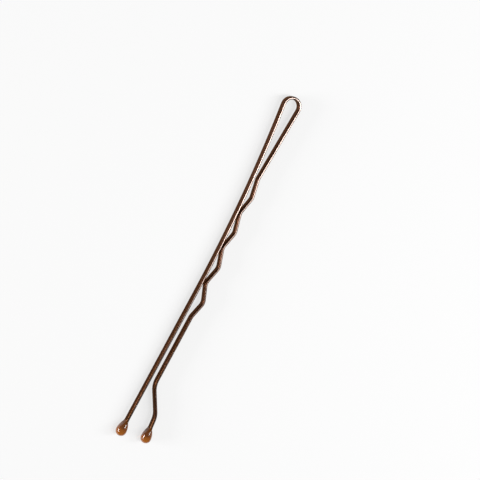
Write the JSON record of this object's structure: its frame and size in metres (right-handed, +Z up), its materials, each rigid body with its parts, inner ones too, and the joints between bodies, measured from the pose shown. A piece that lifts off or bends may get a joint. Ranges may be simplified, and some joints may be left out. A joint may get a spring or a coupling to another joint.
{
  "type": "bobby pin",
  "caption": "Flat spring-steel strip bent double into a straight leg and a crimped leg with a flared tail, with a rounded resin drop on each end; it grips a lock of hair between its legs.",
  "frame": {"origin": "below the middle of the pin lying on its side, on the surface that the two drops rest on", "axes": "+Y along the pin from the drops to the bow, +X from the straight leg to the crimped leg, +Z up across the width of the strip"},
  "size_m": [0.0078, 0.06, 0.0017],
  "materials": {
    "lacquered_strip": "gloss dark brown lacquer on steel",
    "amber_resin": "gloss translucent amber"
  },
  "bodies": {
    "straight_side": {"straight_leg": "lacquered_strip", "bow": "lacquered_strip", "straight_leg_tip": "amber_resin"},
    "crimped_side": {"crimped_leg": "lacquered_strip", "crimped_leg_tip": "amber_resin"}
  },
  "joints": [
    {"name": "leg_spread", "type": "hinge", "parent": "straight_side", "child": "crimped_side", "pos_m": [-0.00225, 0.02919, 0.00087], "axis": [0, 0, 1], "range_deg": [0, 12], "stiffness_Nm_per_rad": 0.07, "springref_deg": -0.57, "deforming": ["bow"]}
  ]
}
